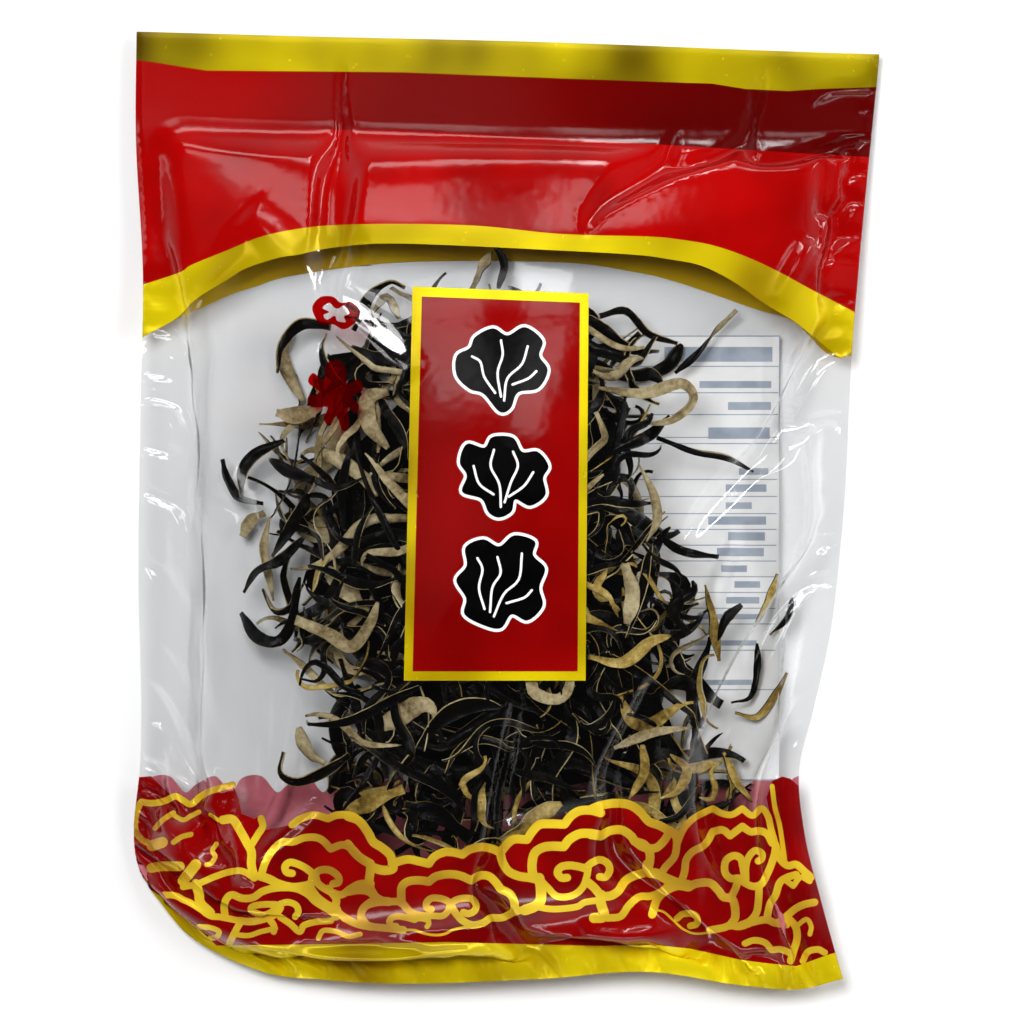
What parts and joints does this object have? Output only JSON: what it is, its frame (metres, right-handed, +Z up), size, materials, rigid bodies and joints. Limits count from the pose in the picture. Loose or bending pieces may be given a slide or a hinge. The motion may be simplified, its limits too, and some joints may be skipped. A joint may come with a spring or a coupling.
{
  "type": "packet of dried wood ear strips",
  "caption": "Flat clear pouch welded along its edges, lying on its back, filled with a loose tangle of dried wood ear mushroom strips.",
  "frame": {"origin": "on the surface that the packet lies on, under the middle of its outline", "axes": "+Y along the packet towards its header, +Z up out of the face that is on show, +X across it"},
  "size_m": [0.1708, 0.219, 0.0318],
  "materials": {
    "film": "thin clear film with a gloss",
    "strip_dark": "dry, brown black, half glossy",
    "strip_pale": "dry, tan, matt and velvety"
  },
  "bodies": {
    "root": {"film_front": "film", "film_back": "film", "strip_tangle": "strip_dark", "strip_left_hook": "strip_dark", "strip_left_arch": "strip_dark", "strip_left_curl": "strip_pale", "strip_left_tail": "strip_pale", "strip_left_slope": "strip_dark", "strip_left_sickle": "strip_dark", "strip_left_cup": "strip_dark", "strip_left_bow": "strip_dark", "strip_left_swan": "strip_pale", "strip_low_hook": "strip_dark", "strip_low_stub": "strip_pale", "strip_low_scoop": "strip_pale", "strip_low_fan": "strip_dark", "strip_low_wide": "strip_pale", "strip_crown_left": "strip_dark", "strip_crown_tan": "strip_pale", "strip_crown_horn": "strip_dark", "strip_crown_arc": "strip_dark", "strip_crown_fork": "strip_pale", "strip_brow_tan": "strip_pale", "strip_brow_c": "strip_pale", "strip_top_loop_a": "strip_pale", "strip_top_loop_b": "strip_dark", "strip_right_brow": "strip_dark", "strip_right_flag": "strip_dark", "strip_right_hoop": "strip_pale", "strip_right_blade": "strip_dark", "strip_right_spear": "strip_dark", "strip_right_s": "strip_pale", "strip_right_diag": "strip_dark", "strip_right_plank": "strip_pale", "strip_right_swash": "strip_pale", "strip_sprig_tan": "strip_pale", "strip_sprig_dark": "strip_dark", "strip_sprig_thumb": "strip_dark", "strip_sprig_leg": "strip_dark", "strip_sprig_long": "strip_pale", "strip_right_quill": "strip_pale", "strip_low_quill": "strip_pale", "strip_low_comma": "strip_pale", "strip_low_root": "strip_pale", "strip_low_dart": "strip_pale"}
  },
  "joints": []
}
